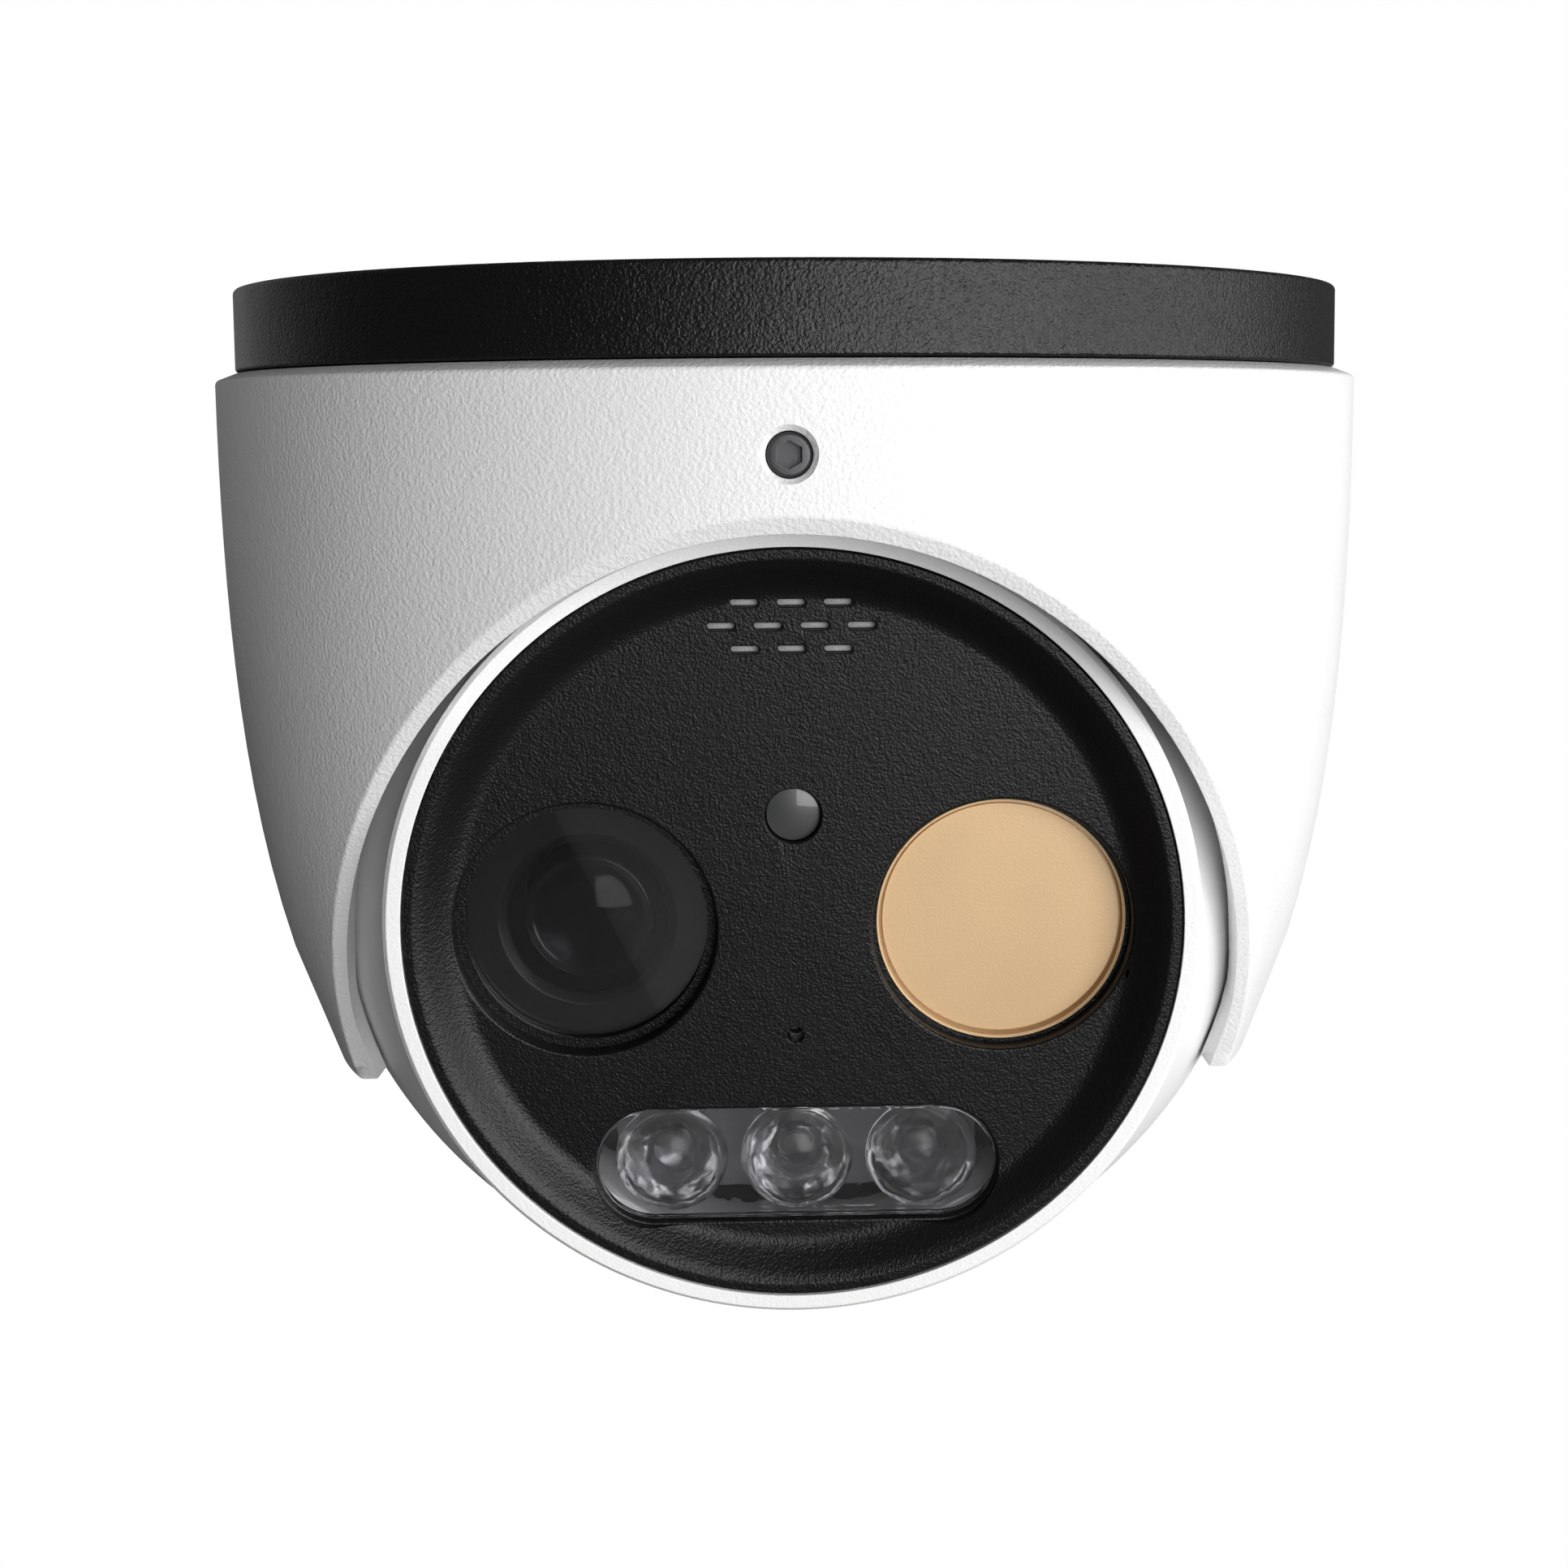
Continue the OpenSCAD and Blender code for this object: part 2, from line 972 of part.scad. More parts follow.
processor_chip();
heat_spreader();
rear_cover();
rear_gasket();
rear_cover_screws();
head_grommet();
reset_button();
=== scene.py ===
"""Finished pieces, finishes and studio for a ceiling turret camera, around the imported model."""
import json
import math

import bmesh
import bpy
from mathutils import Matrix, Vector


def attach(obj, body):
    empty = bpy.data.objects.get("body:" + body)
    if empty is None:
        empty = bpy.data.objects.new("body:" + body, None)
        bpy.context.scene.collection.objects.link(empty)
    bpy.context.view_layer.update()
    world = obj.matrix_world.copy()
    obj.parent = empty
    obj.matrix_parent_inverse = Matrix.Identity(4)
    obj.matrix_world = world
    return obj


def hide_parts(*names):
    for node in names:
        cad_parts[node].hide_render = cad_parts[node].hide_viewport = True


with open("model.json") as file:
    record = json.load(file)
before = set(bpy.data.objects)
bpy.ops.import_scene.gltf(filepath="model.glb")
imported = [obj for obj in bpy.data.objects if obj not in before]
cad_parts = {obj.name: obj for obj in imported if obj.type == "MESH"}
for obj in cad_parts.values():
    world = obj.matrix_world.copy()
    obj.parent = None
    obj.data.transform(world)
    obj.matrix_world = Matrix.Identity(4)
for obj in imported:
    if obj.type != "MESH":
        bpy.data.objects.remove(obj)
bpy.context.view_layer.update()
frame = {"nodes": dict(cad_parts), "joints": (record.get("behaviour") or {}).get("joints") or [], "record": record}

bl_info = {
    "name": "Ceiling turret camera",
    "version": (1, 0, 0),
    "blender": (4, 5, 0),
    "location": "View3D > Sidebar > Turret camera",
    "description": "Builds the finished pieces of a ceiling turret camera around its packed model",
    "category": "Object",
}

MM = 0.001
JOINTS = {joint["name"]: joint for joint in frame["joints"]}
BALL_CENTRE = Vector(JOINTS["tilt"]["pos_m"])
FACE_OUT = Vector(JOINTS["rotate"]["axis"]).normalized()
SLOTS = {part["node"]: part["material_slot"] for part in frame["record"]["subparts"]}

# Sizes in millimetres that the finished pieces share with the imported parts
BASE_R = 58.9
BASE_H = 8.4
SHELL_R = 60.97
SHELL_TOP = -8.6
SHELL_CORNER = -9.4
SHELL_BOTTOM = -81.5
OPENING_TILT = math.radians(33.8)
OPENING_D = 31.06
BALL_Z = BALL_CENTRE.z / MM
BALL_R = 52.29
SEAT_R = 52.7
FACE_D = 43.7
BEZEL_R = 38.9
PANEL_R = 36.98
FLOOR_Z = 41.2
WINDOW_X = 20.0
WINDOW_Y = -0.2
LAMP_Y = -24.4
LAMP_PITCH = 12.3
LOCK_Z = -16.9
SWEEP_R = 58.9
POCKET_R = 57.0
POCKET_BOTTOM = -23.0
LIP_R = 53.9
LIP_BOTTOM = -14.0
BALL_IN_R = 48.8
SPLIT_R = 40.4
SENSOR_Y = 10.9
MICROPHONE_Y = -11.0
PANE_HALF = 13.8
SLOT_PITCH = 4.38
SLOT_HALF = 1.0
GLASS_R = 13.2

# Edges that turn by more than this stay sharp
CREASE = math.radians(32)

HERE = Matrix.Identity(4)
# Face frame: x right, y up in the face, z out of the face from the ball's centre
FACE = Matrix.Translation(BALL_CENTRE) @ Matrix(
    (
        (1, 0, FACE_OUT.x, 0),
        (0, FACE_OUT.z, FACE_OUT.y, 0),
        (0, -FACE_OUT.y, FACE_OUT.z, 0),
        (0, 0, 0, 1),
    )
)


# ---- mesh helpers ----


def spun(profile, steps):
    """Turn a closed profile of (radius, height) or (radius, height, fillet) mm about Z."""
    bm = bmesh.new()
    verts = [bm.verts.new((point[0], 0, point[1])) for point in profile]
    pairs = zip(verts, verts[1:] + verts[:1])
    edges = [bm.edges.new(pair) for pair in pairs if pair[0].co.x > 0 or pair[1].co.x > 0]
    bmesh.ops.spin(
        bm, geom=verts + edges, cent=(0, 0, 0), axis=(0, 0, 1), angle=2 * math.pi, steps=steps,
        use_merge=True,
    )
    bmesh.ops.remove_doubles(bm, verts=bm.verts, dist=1e-4)
    bmesh.ops.recalc_face_normals(bm, faces=bm.faces)
    for size in sorted({point[2] for point in profile if len(point) > 2}):
        corners = [point for point in profile if len(point) > 2 and point[2] == size]
        rings = [edge for edge in bm.edges if any(on_ring(edge, corner) for corner in corners)]
        soften(bm, rings, size)
    return bm


def on_ring(edge, corner):
    """Whether an edge lies on the ring that a profile's corner makes."""
    return all(
        abs(math.hypot(v.co.x, v.co.y) - corner[0]) < 1e-3 and abs(v.co.z - corner[1]) < 1e-3
        for v in edge.verts
    )


def soften(bm, edges, size, segments=3):
    """Round a set of edges by a size in millimetres."""
    bmesh.ops.bevel(
        bm, geom=edges, offset=size, offset_type="OFFSET", affect="EDGES", segments=segments,
        profile=0.5, material=-1, clamp_overlap=True,
    )


def widened(bm, half):
    """Stretch a turned piece along x into one with a straight middle."""
    for side in (-1, 1):
        moved = [v for v in bm.verts if v.co.x * side > 1e-6]
        bmesh.ops.translate(bm, verts=moved, vec=(side * half, 0, 0))
    return bm


def moved(bm, x=0.0, y=0.0, z=0.0):
    """Shift a bmesh in its own unit."""
    bmesh.ops.translate(bm, verts=bm.verts, vec=(x, y, z))
    return bm


def turned(bm, angle, axis):
    """Turn a bmesh about one of its axes."""
    bmesh.ops.rotate(
        bm, verts=bm.verts, cent=(0, 0, 0), matrix=Matrix.Rotation(angle, 3, axis)
    )
    return bm


def spun_at(profile, steps, x, y):
    """Turn a profile about an axis at x and y."""
    return moved(spun(profile, steps), x, y)


def stadium(profile, steps, half):
    """Turn a profile, with no vertex at x of 0, and give it a straight middle."""
    return widened(turned(spun(profile, steps), math.pi / steps, "Z"), half)


def ring_of(profile, steps, radius, turns):
    """Copies of a turned profile on a circle, at angles in degrees."""
    angles = [math.radians(turn) for turn in turns]
    return [spun_at(profile, steps, radius * math.cos(a), radius * math.sin(a)) for a in angles]


def joined(parts):
    """Put several bmeshes into the first one."""
    first = parts[0]
    for other in parts[1:]:
        mesh = bpy.data.meshes.new("part")
        other.to_mesh(mesh)
        other.free()
        first.from_mesh(mesh)
        bpy.data.meshes.remove(mesh)
    return first


def cut(bm, cutters):
    """Subtract closed cutters from a closed bmesh."""
    body = bpy.data.meshes.new("body")
    bm.to_mesh(body)
    bm.free()
    target = bpy.data.objects.new("body", body)
    bpy.context.collection.objects.link(target)
    tool_mesh = bpy.data.meshes.new("cutters")
    tools = joined(cutters)
    tools.to_mesh(tool_mesh)
    tools.free()
    tool = bpy.data.objects.new("cutters", tool_mesh)
    bpy.context.collection.objects.link(tool)
    boolean = target.modifiers.new("cut", "BOOLEAN")
    boolean.operation = "DIFFERENCE"
    boolean.solver = "EXACT"
    boolean.use_self = True
    boolean.object = tool
    graph = bpy.context.evaluated_depsgraph_get()
    result = bmesh.new()
    result.from_mesh(target.evaluated_get(graph).to_mesh())
    for scrap in (target, tool):
        bpy.data.objects.remove(scrap)
    for scrap in (body, tool_mesh):
        bpy.data.meshes.remove(scrap)
    bmesh.ops.remove_doubles(result, verts=result.verts, dist=2e-3)
    bmesh.ops.dissolve_degenerate(result, edges=result.edges, dist=2e-3)
    return result


def finish_piece(name, bm, place, body, slot, replaces, finish=None):
    """Scale a bmesh to metres, place it, shade it and hand it to its body."""
    bmesh.ops.transform(bm, matrix=place @ Matrix.Scale(MM, 4), verts=bm.verts)
    for face in bm.faces:
        face.smooth = True
    for edge in bm.edges:
        if len(edge.link_faces) == 2 and edge.calc_face_angle(0) > CREASE:
            edge.smooth = False
    mesh = bpy.data.meshes.new(name)
    bm.to_mesh(mesh)
    bm.free()
    piece = bpy.data.objects.new(name, mesh)
    bpy.context.collection.objects.link(piece)
    mesh.materials.append(material_for(finish or slot))
    even = piece.modifiers.new("even_normals", "WEIGHTED_NORMAL")
    even.keep_sharp = True
    even.weight = 100
    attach(piece, body)
    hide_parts(*replaces)


def face_piece(name, bm, slot, replaces, finish=None):
    """Finish a piece that rides with the head."""
    finish_piece(name, bm, FACE, "head", slot, replaces, finish)


# ---- shared effects ----


def effect(name, inputs, outputs):
    """Start a shader node group with named sockets."""
    group = bpy.data.node_groups.new(name, "ShaderNodeTree")
    for label, kind, value in inputs:
        socket = group.interface.new_socket(name=label, in_out="INPUT", socket_type=kind)
        socket.default_value = value
    for label, kind in outputs:
        group.interface.new_socket(name=label, in_out="OUTPUT", socket_type=kind)
    return group, group.nodes.new("NodeGroupInput"), group.nodes.new("NodeGroupOutput")


def noise(tree, coordinates, scale, detail=2.0):
    """Noise texture on given coordinates; scale is a socket or a number."""
    node = tree.nodes.new("ShaderNodeTexNoise")
    node.inputs["Detail"].default_value = detail
    tree.links.new(coordinates, node.inputs["Vector"])
    if isinstance(scale, (int, float)):
        node.inputs["Scale"].default_value = scale
    else:
        tree.links.new(scale, node.inputs["Scale"])
    return node


def maths(tree, operation, first, second):
    """Math node on sockets or numbers."""
    node = tree.nodes.new("ShaderNodeMath")
    node.operation = operation
    for socket, value in zip(node.inputs, (first, second)):
        if isinstance(value, (int, float)):
            socket.default_value = value
        else:
            tree.links.new(value, socket)
    return node.outputs[0]


def grain_effect():
    """Moulded or powder coated grain, as a height."""
    group, start, end = effect(
        "surface_grain",
        [("Scale", "NodeSocketFloat", 2500.0), ("Coarse", "NodeSocketFloat", 0.35)],
        [("Height", "NodeSocketFloat")],
    )
    where = group.nodes.new("ShaderNodeTexCoord").outputs["Object"]
    fine = noise(group, where, start.outputs["Scale"], 2.5)
    wide = noise(group, where, maths(group, "MULTIPLY", start.outputs["Scale"], 0.31), 2.0)
    share = maths(group, "MULTIPLY", wide.outputs["Fac"], start.outputs["Coarse"])
    total = maths(group, "ADD", fine.outputs["Fac"], share)
    group.links.new(total, end.inputs["Height"])
    return group


def mottle_effect():
    """Slight uneven tone: a colour made lighter and darker in soft patches."""
    group, start, end = effect(
        "uneven_tone",
        [
            ("Color", "NodeSocketColor", (0.5, 0.5, 0.5, 1)),
            ("Amount", "NodeSocketFloat", 0.06),
            ("Scale", "NodeSocketFloat", 90.0),
        ],
        [("Color", "NodeSocketColor")],
    )
    where = group.nodes.new("ShaderNodeTexCoord").outputs["Object"]
    patches = noise(group, where, start.outputs["Scale"], 4.0)
    swing = maths(group, "SUBTRACT", patches.outputs["Fac"], 0.5)
    gain = maths(group, "ADD", maths(group, "MULTIPLY", swing, start.outputs["Amount"]), 1.0)
    tint = group.nodes.new("ShaderNodeVectorMath")
    tint.operation = "SCALE"
    group.links.new(start.outputs["Color"], tint.inputs[0])
    group.links.new(gain, tint.inputs["Scale"])
    group.links.new(tint.outputs[0], end.inputs["Color"])
    return group


def handling_effect():
    """Roughness that varies with faint handling marks and dust."""
    group, start, end = effect(
        "handling_marks",
        [
            ("Roughness", "NodeSocketFloat", 0.5),
            ("Amount", "NodeSocketFloat", 0.12),
            ("Scale", "NodeSocketFloat", 140.0),
        ],
        [("Roughness", "NodeSocketFloat")],
    )
    where = group.nodes.new("ShaderNodeTexCoord").outputs["Object"]
    marks = noise(group, where, start.outputs["Scale"], 5.0)
    swing = maths(group, "SUBTRACT", marks.outputs["Fac"], 0.5)
    change = maths(group, "MULTIPLY", swing, start.outputs["Amount"])
    group.links.new(maths(group, "ADD", start.outputs["Roughness"], change), end.inputs["Roughness"])
    return group


GROUPS = {}


def group_node(tree, key, values):
    """Place a shared effect with its own values."""
    makers = {"grain": grain_effect, "mottle": mottle_effect, "handling": handling_effect}
    if key not in GROUPS:
        GROUPS[key] = makers[key]()
    node = tree.nodes.new("ShaderNodeGroup")
    node.node_tree = GROUPS[key]
    for label, value in values.items():
        node.inputs[label].default_value = value
    return node


# ---- finishes ----

# Colour, roughness, metallic, grain scale, grain depth in mm, tone amount, extra sockets
FINISHES = {
    "base_black": (
        (0.0028, 0.0028, 0.003), 0.36, 0.0, 3300.0, 0.15, 0.25, {"Specular IOR Level": 0.36},
    ),
    "shell_white": ((0.80, 0.80, 0.80), 0.5, 0.0, 2600.0, 0.12, 0.03, {}),
    "ball_white": ((0.80, 0.80, 0.80), 0.48, 0.0, 3300.0, 0.03, 0.03, {}),
    "bezel_white": ((0.84, 0.84, 0.835), 0.45, 0.0, 3000.0, 0.045, 0.03, {}),
    "ring_black": ((0.02, 0.02, 0.021), 0.55, 0.0, 1400.0, 0.03, 0.2, {}),
    "panel_black": (
        (0.0042, 0.0042, 0.0044), 0.3, 0.0, 4000.0, 0.08, 0.25, {"Specular IOR Level": 0.24},
    ),
    "dark_plastic": ((0.0075, 0.0075, 0.008), 0.36, 0.0, 1800.0, 0.02, 0.3, {}),
    "rubber_black": ((0.018, 0.018, 0.018), 0.75, 0.0, 1300.0, 0.03, 0.3, {}),
    "steel": ((0.55, 0.56, 0.58), 0.28, 1.0, 1600.0, 0.004, 0.12, {}),
    "dark_steel": ((0.06, 0.06, 0.062), 0.4, 0.85, 1900.0, 0.012, 0.2, {}),
    "lens_black": ((0.009, 0.009, 0.0095), 0.17, 0.0, 2600.0, 0.003, 0.25, {"Coat Weight": 0.3}),
    "pad_nylon": ((0.36, 0.27, 0.15), 0.55, 0.0, 1500.0, 0.01, 0.2, {}),
    "aluminium": ((0.60, 0.61, 0.62), 0.38, 1.0, 1300.0, 0.008, 0.12, {}),
    "board_green": ((0.012, 0.10, 0.045), 0.4, 0.0, 900.0, 0.01, 0.35, {"Coat Weight": 0.4}),
    # board_white is grey, not white: painted shade for the board that sits in the shade behind the lamp window
    "board_white": ((0.20, 0.20, 0.20), 0.42, 0.0, 900.0, 0.01, 0.08, {}),
    "chip_black": ((0.022, 0.022, 0.024), 0.5, 0.0, 2200.0, 0.006, 0.2, {}),
    "led_yellow": ((0.28, 0.27, 0.24), 0.35, 0.0, 1500.0, 0.004, 0.1, {}),
    "copper": ((0.62, 0.27, 0.13), 0.33, 1.0, 2400.0, 0.03, 0.25, {}),
    "brass": ((0.60, 0.44, 0.17), 0.3, 1.0, 1500.0, 0.005, 0.15, {}),
    "button_red": ((0.55, 0.05, 0.03), 0.4, 0.0, 1500.0, 0.008, 0.15, {}),
    "mesh_grey": ((0.30, 0.30, 0.30), 0.6, 0.0, 5200.0, 0.09, 0.3, {}),
    "sensor_lens": ((0.042, 0.043, 0.044), 0.3, 0.0, 2600.0, 0.004, 0.2, {"Coat Weight": 0.5}),
    "germanium_gold": ((0.63, 0.43, 0.235), 0.36, 0.2, 4200.0, 0.012, 0.07, {"Coat Weight": 0.2}),
}
# Colour, roughness, index of refraction, and ripple depth in mm where there is one
GLASSES = {
    "window_glass": ((0.50, 0.50, 0.51), 0.0, 1.62),
    "lens_glass": ((0.36, 0.37, 0.40), 0.0, 1.35),
    "lamp_window": ((0.60, 0.60, 0.61), 0.02, 1.49, 0.35),
    "optic_clear": ((0.72, 0.72, 0.73), 0.16, 1.49, 0.9),
    "filter_red": ((0.55, 0.10, 0.13), 0.0, 1.52),
}
MATERIALS = {}


def mixed_by_ray(tree, ray, plain, other, output):
    """Give one kind of ray another shader than the rest."""
    mix = tree.nodes.new("ShaderNodeMixShader")
    rays = tree.nodes.new("ShaderNodeLightPath")
    tree.links.new(rays.outputs[ray], mix.inputs["Fac"])
    tree.links.new(plain.outputs[0], mix.inputs[1])
    tree.links.new(other.outputs[0], mix.inputs[2])
    tree.links.new(mix.outputs[0], tree.nodes[output].inputs["Surface"])


def opaque(name, colour, roughness, metallic, scale, depth, tone, extra):
    """Plastic, paint or metal with grain, uneven tone and handling marks."""
    material = bpy.data.materials.new(name)
    material.use_nodes = True
    tree = material.node_tree
    shader = tree.nodes["Principled BSDF"]
    shader.inputs["Metallic"].default_value = metallic
    for label, value in extra.items():
        shader.inputs[label].default_value = value
    grain = group_node(tree, "grain", {"Scale": scale})
    paint = group_node(tree, "mottle", {"Color": (*colour, 1), "Amount": tone * 2})
    tree.links.new(paint.outputs["Color"], shader.inputs["Base Color"])
    marks = group_node(tree, "handling", {"Roughness": roughness})
    tree.links.new(marks.outputs["Roughness"], shader.inputs["Roughness"])
    bump = tree.nodes.new("ShaderNodeBump")
    bump.inputs["Distance"].default_value = depth * MM
    tree.links.new(grain.outputs["Height"], bump.inputs["Height"])
    tree.links.new(bump.outputs["Normal"], shader.inputs["Normal"])
    return material


def clear(name, colour, roughness, ior, ripple=0.0):
    """Glass or clear plastic that lets light through, with waves where ripple is given."""
    material = bpy.data.materials.new(name)
    material.use_nodes = True
    tree = material.node_tree
    shader = tree.nodes["Principled BSDF"]
    shader.inputs["Transmission Weight"].default_value = 1.0
    shader.inputs["IOR"].default_value = ior
    paint = group_node(tree, "mottle", {"Color": (*colour, 1), "Amount": 0.06, "Scale": 60.0})
    tree.links.new(paint.outputs["Color"], shader.inputs["Base Color"])
    marks = group_node(tree, "handling", {"Roughness": roughness + 0.01, "Amount": 0.02})
    tree.links.new(marks.outputs["Roughness"], shader.inputs["Roughness"])
    if ripple:
        grain = group_node(tree, "grain", {"Scale": 170.0, "Coarse": 1.2})
        bump = tree.nodes.new("ShaderNodeBump")
        bump.inputs["Distance"].default_value = ripple * MM
        tree.links.new(grain.outputs["Height"], bump.inputs["Height"])
        tree.links.new(bump.outputs["Normal"], shader.inputs["Normal"])
    open_to_light = tree.nodes.new("ShaderNodeBsdfTransparent")
    open_to_light.inputs["Color"].default_value = (*colour, 1)
    mixed_by_ray(tree, "Is Shadow Ray", shader, open_to_light, "Material Output")
    return material


def material_for(slot):
    """The finish of a slot, made once."""
    if slot not in MATERIALS:
        if slot in GLASSES:
            MATERIALS[slot] = clear(slot, *GLASSES[slot])
        else:
            MATERIALS[slot] = opaque(slot, *FINISHES[slot])
    return MATERIALS[slot]


# ---- sizes that a user would change ----


class TurretFinish(bpy.types.PropertyGroup):
    """Sizes and light of the finished pieces."""

    rim_side: bpy.props.FloatProperty(
        name="Rim width at the sides", description="Flat band of the opening at its sides, mm",
        default=1.4,
    )
    rim_top: bpy.props.FloatProperty(
        name="Rim width at the top", description="Flat band of the opening at its top, mm",
        default=1.9,
    )
    key_power: bpy.props.FloatProperty(
        name="Main light", description="Power of the large light on the right", default=10.4,
        subtype="POWER",
    )
    side_power: bpy.props.FloatProperty(
        name="Side light", description="Power of the light at the far right", default=3.2,
        subtype="POWER",
    )
    rim_power: bpy.props.FloatProperty(
        name="Rim light", description="Power of the light behind on the left", default=0.22,
        subtype="POWER",
    )
    back_power: bpy.props.FloatProperty(
        name="Back light", description="Power of the soft light behind", default=3.0,
        subtype="POWER",
    )
    fill_power: bpy.props.FloatProperty(
        name="Fill light", description="Power of the soft light in front", default=0.11,
        subtype="POWER",
    )
    ambient: bpy.props.FloatProperty(
        name="Ambient", description="Strength of the surrounding light", default=0.105,
    )
    floor_colour: bpy.props.FloatVectorProperty(
        name="Floor", description="Colour of the pale floor", default=(1.0, 1.0, 1.0),
        subtype="COLOR", size=3,
    )


# ---- the turret shell ----

FRONT_COLUMNS = 132
BACK_COLUMNS = 132
SKIN_ROWS = 14
SEAT_ROWS = 9
FIRST_SKIN = 2
RIM_ROW = FIRST_SKIN + SKIN_ROWS
FIRST_SEAT = RIM_ROW + 3
# Share of the skin's height that its rows take before the rim's own row
SKIN_SHARE = 0.88
WALL = 1.5
HEAD_ROOM = (math.radians(38), math.radians(50))
GAP_RISE = 0.9
GAP_DEPTH = 3.5
# Azimuth over which the rim changes from the opening's plane to the flat bottom
TURN_OVER = 0.16
# Steps of the shell's inside above the ball's seat, as radius and height
INSIDE_STEPS = (
    (SEAT_R, POCKET_BOTTOM), (POCKET_R, POCKET_BOTTOM), (POCKET_R, LIP_BOTTOM),
    (LIP_R, LIP_BOTTOM), (LIP_R, SHELL_TOP),
)


def shell_out(z):
    """Outside radius of the shell at a height."""
    t = SHELL_CORNER - z
    return SHELL_R - 1.03e-3 * t * t - 2.07e-7 * t**4


def before_opening(radius, azimuth, z):
    """Distance in front of the opening's plane."""
    reach = radius * math.cos(azimuth) * math.cos(OPENING_TILT)
    return reach - (z - BALL_Z) * math.sin(OPENING_TILT) - OPENING_D


def corner_azimuth():
    """Azimuth from the front at which the opening meets the flat bottom edge."""
    reach = (OPENING_D + (SHELL_BOTTOM - BALL_Z) * math.sin(OPENING_TILT)) / math.cos(OPENING_TILT)
    return math.acos(reach / shell_out(SHELL_BOTTOM))


def skin_end(azimuth):
    """Height at which the skin ends at an azimuth."""
    low, high = SHELL_BOTTOM, SHELL_CORNER
    if before_opening(shell_out(low), azimuth, low) <= 0:
        return low
    for _ in range(40):
        middle = (low + high) / 2
        if before_opening(shell_out(middle), azimuth, middle) > 0:
            low = middle
        else:
            high = middle
    return (low + high) / 2


def blend_step(value, low, high):
    """Smooth step from 0 to 1 between two values."""
    t = min(max((value - low) / (high - low), 0), 1)
    return t * t * (3 - 2 * t)


def seat_radius(azimuth, z):
    """Inside radius of the shell, with room for the head in front."""
    seat = SEAT_R if z > BALL_Z else math.sqrt(SEAT_R**2 - (z - BALL_Z) ** 2)
    room = min(math.sqrt(SWEEP_R**2 - (z - BALL_Z) ** 2), shell_out(z) - WALL)
    front = 1 - blend_step(abs(azimuth), *HEAD_ROOM)
    return max(seat, seat + (room - seat) * front)


def off_ball(point):
    """Move a point out to the seat's sphere where it lies inside it."""
    heart = Vector((0, 0, BALL_Z))
    offset = point - heart
    return heart + offset * max(1, SEAT_R / offset.length)


def shell_point(row, azimuth, finish):
    """Place of one grid point of the shell, in millimetres."""
    side = math.sin(azimuth)
    ahead = math.cos(azimuth)
    corner = corner_azimuth()
    end = skin_end(azimuth)
    if row == 0:
        return Vector((BASE_R * side, -BASE_R * ahead, SHELL_TOP))
    if row < RIM_ROW:
        share = (row - 1) / (RIM_ROW - 1) * SKIN_SHARE
        z = SHELL_CORNER + (end - SHELL_CORNER) * share
        return Vector((shell_out(z) * side, -shell_out(z) * ahead, z))
    edge = Vector((shell_out(end) * side, -shell_out(end) * ahead, end))
    if row == RIM_ROW:
        return edge
    seat_z = SHELL_BOTTOM + GAP_RISE
    seat_r = math.sqrt(SEAT_R**2 - (seat_z - BALL_Z) ** 2)
    bottom_gap = Vector((seat_r * side, -seat_r * ahead, seat_z))
    up = Vector((0, -math.sin(OPENING_TILT), math.cos(OPENING_TILT)))
    out = Vector((0, -math.cos(OPENING_TILT), -math.sin(OPENING_TILT)))
    heart = Vector((0, 0, BALL_Z)) + out * OPENING_D
    behind = blend_step(abs(azimuth), corner, corner + TURN_OVER)
    if abs(azimuth) <= corner + 1e-6:
        height = (edge - heart).dot(up)
        rise = height - (height - 2) * finish.rim_top / 61 if height > 2 else height
        low = blend_step(-height, -2, 8.4)
        wide = finish.rim_side * (1 + 0.35 * low)
        band = heart + up * rise + Vector((edge.x * (1 - wide / 46.2), 0, 0))
        top = blend_step(height, 30, 58)
        depth = GAP_DEPTH - top
        inward = Vector((0, 1, 0.03)) * top - out * (1 - top)
        gap = band + inward * depth - Vector((math.copysign(0.35 * (1 - top), edge.x), 0, 0))
        gap = gap.lerp(bottom_gap, low)
    else:
        width = finish.rim_side * 1.35 + 0.5 * behind
        radius = math.hypot(edge.x, edge.y) - width
        band = Vector((radius * side, -radius * ahead, SHELL_BOTTOM))
        gap = bottom_gap
    if row == RIM_ROW + 1:
        return band
    if row == RIM_ROW + 2:
        return off_ball(gap)
    if row < FIRST_SEAT + SEAT_ROWS:
        share = (row - FIRST_SEAT + 1) / (SEAT_ROWS + 1)
        z = gap.z + (POCKET_BOTTOM - gap.z) * share
        around = math.atan2(gap.x, -gap.y)
        angle = around + (azimuth - around) * share
        radius = seat_radius(azimuth, z)
        near = math.hypot(gap.x, gap.y)
        radius += (near - radius) * (1 - share) * (1 - blend_step(share, 0, 0.35))
        return off_ball(Vector((radius * math.sin(angle), -radius * math.cos(angle), z)))
    radius, z = INSIDE_STEPS[row - FIRST_SEAT - SEAT_ROWS]
    return Vector((radius * side, -radius * ahead, z))


